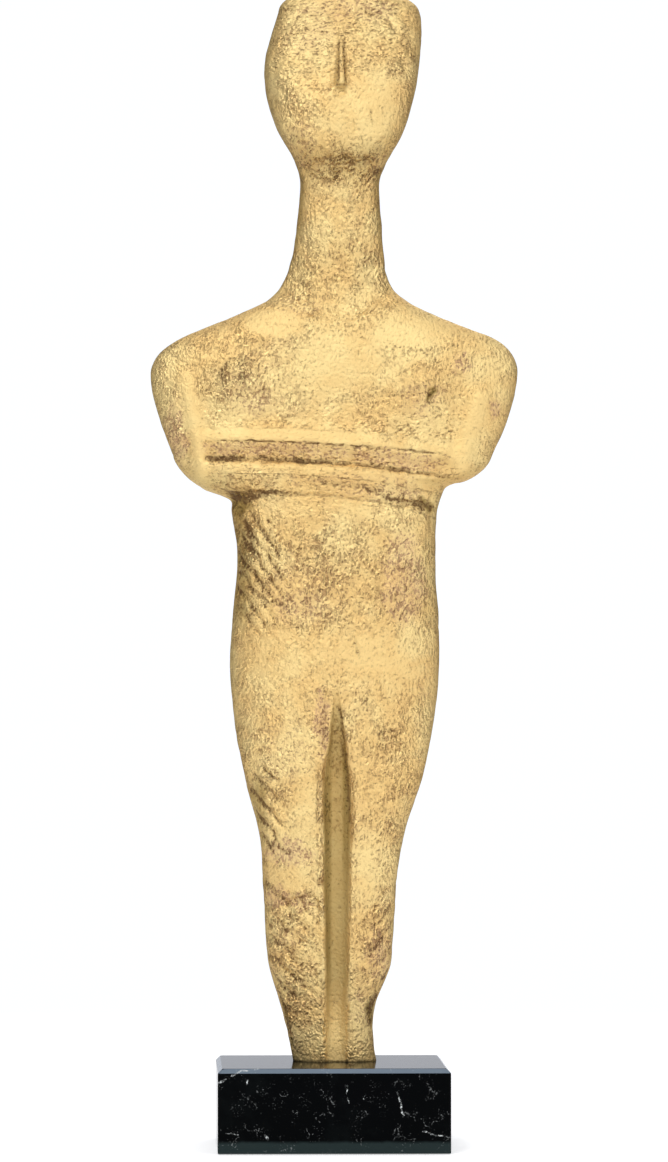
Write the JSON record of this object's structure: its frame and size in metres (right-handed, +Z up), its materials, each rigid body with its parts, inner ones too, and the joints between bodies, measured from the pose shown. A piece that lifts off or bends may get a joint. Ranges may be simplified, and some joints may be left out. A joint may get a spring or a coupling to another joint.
{
  "type": "cycladic figurine on a plinth",
  "caption": "Flat standing figurine with a tilted oval head, wedge nose, long neck and folded arms, cast in gold-toned metal on a chamfered block of black marble.",
  "frame": {"origin": "centre of the plinth's underside", "axes": "+Z up, the figure faces -Y, +X to the viewer's right"},
  "size_m": [0.0881, 0.055, 0.2788],
  "materials": {
    "gilt_bronze": "satin",
    "black_marble": "polished"
  },
  "bodies": {
    "root": {"figurine": "gilt_bronze", "plinth": "black_marble"}
  },
  "joints": []
}
